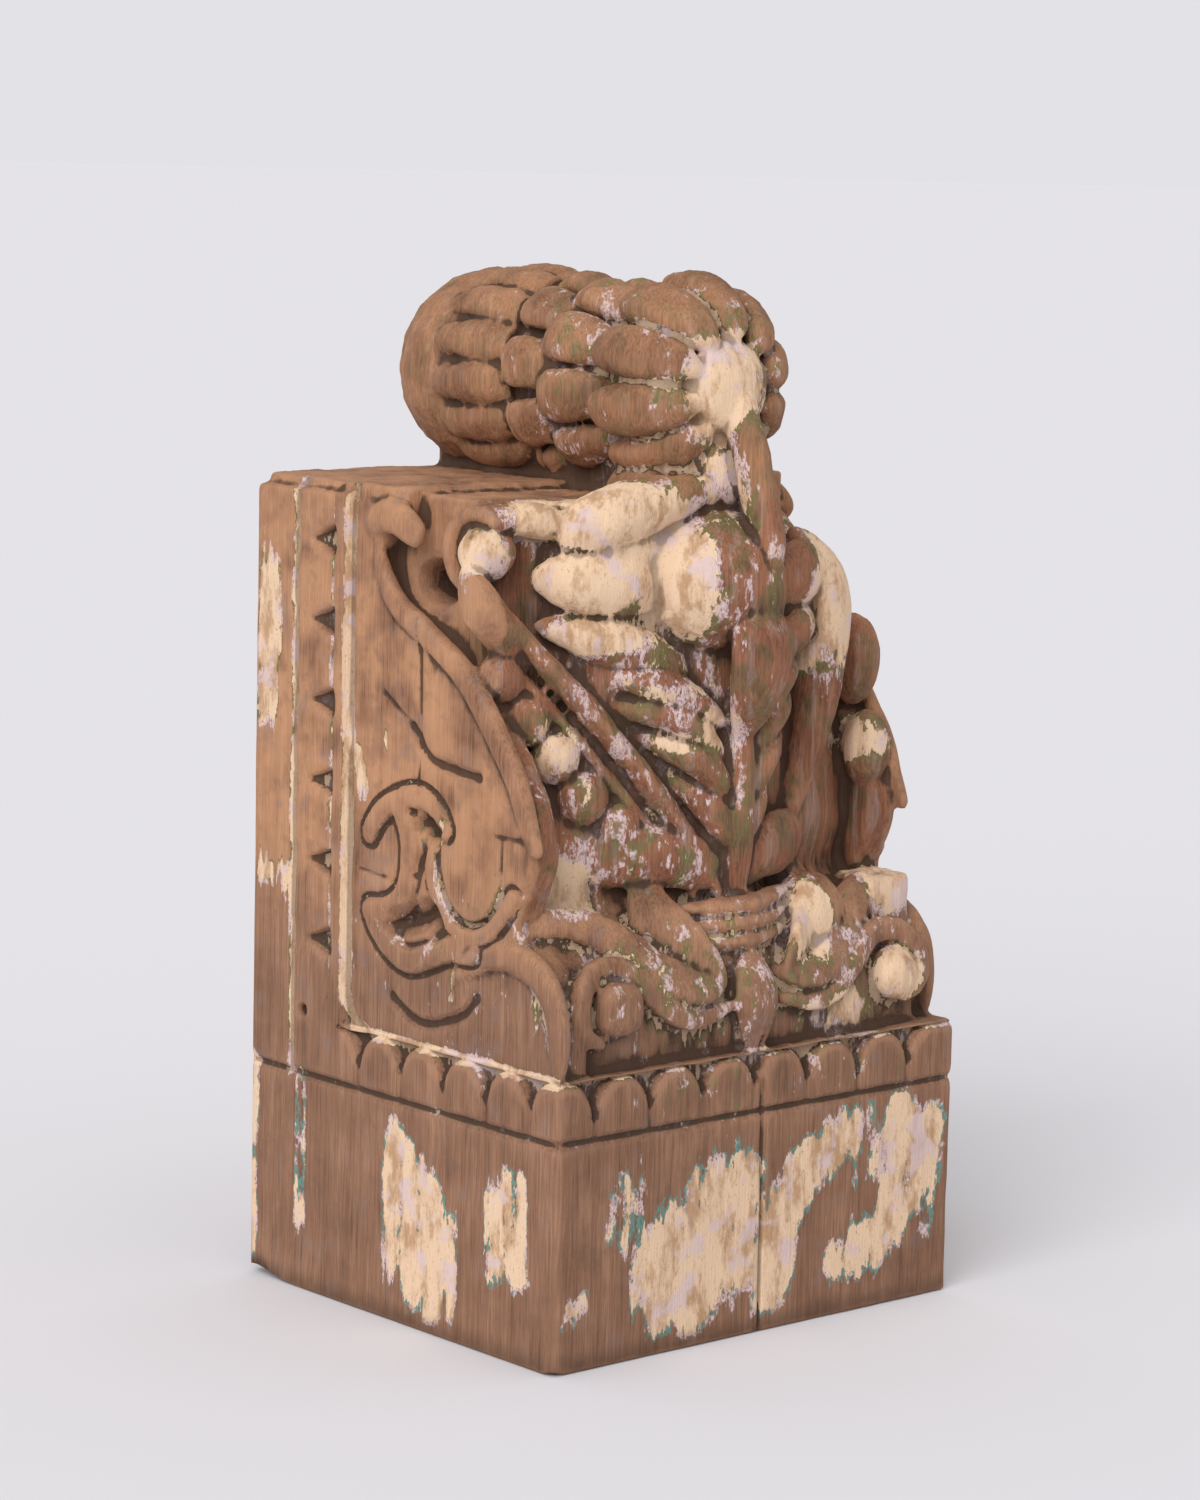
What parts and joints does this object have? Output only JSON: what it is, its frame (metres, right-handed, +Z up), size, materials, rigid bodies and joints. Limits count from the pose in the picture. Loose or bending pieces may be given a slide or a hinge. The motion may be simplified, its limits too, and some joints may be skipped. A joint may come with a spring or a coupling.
{
  "type": "wooden corbel",
  "caption": "Carved timber corbel with a plain plinth, scalloped borders, scrolled side panels, a tied acanthus leaf and a lotus bud lying along the top.",
  "frame": {"origin": "middle of the plinth's underside", "axes": "+Z up from the underside, +Y towards the wall behind, +X to the right seen from the front"},
  "size_m": [0.143, 0.13, 0.2774],
  "materials": {
    "carved_wood": "worn hardwood with remains of cream, green and violet paint"
  },
  "bodies": {
    "root": {"corbel": "carved_wood"}
  },
  "joints": []
}
